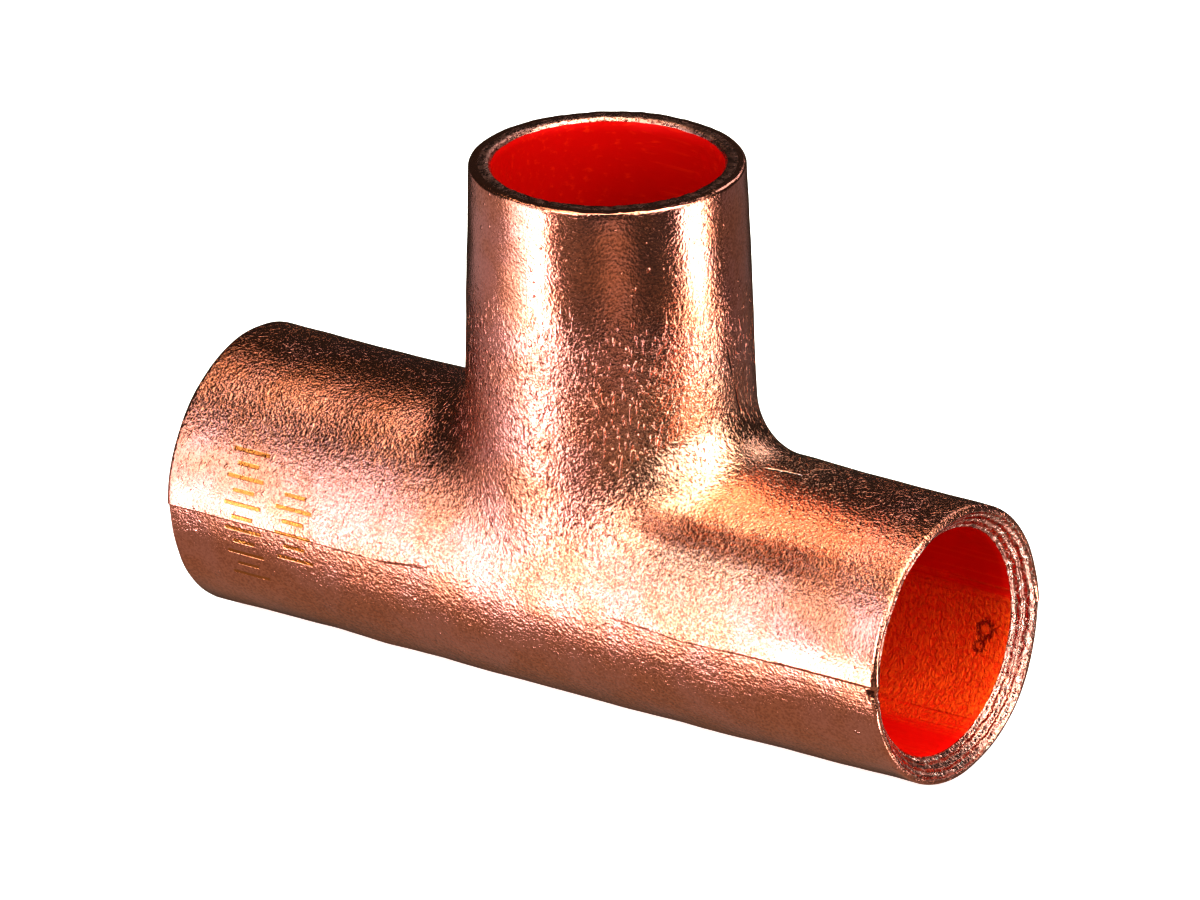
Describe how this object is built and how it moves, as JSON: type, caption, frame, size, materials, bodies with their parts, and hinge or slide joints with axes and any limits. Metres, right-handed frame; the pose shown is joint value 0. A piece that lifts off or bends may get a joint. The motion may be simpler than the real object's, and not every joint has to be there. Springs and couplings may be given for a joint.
{
  "type": "tee fitting",
  "caption": "Equal tee solder fitting in plain copper, with a straight run, a square branch and tube sockets at its ends.",
  "frame": {"origin": "on the surface the run rests on, straight below the middle of the run's axis", "axes": "+X along the run's axis, towards its right-hand end; +Z along the branch's axis, out of its end (the branch stands 0.6 mm to the +X side of the run's middle); the side with the etched marks faces -Y"},
  "size_m": [0.036, 0.012, 0.0235],
  "materials": {
    "copper": "satin, die-formed"
  },
  "bodies": {
    "root": {"tee_body": "copper"}
  },
  "joints": []
}
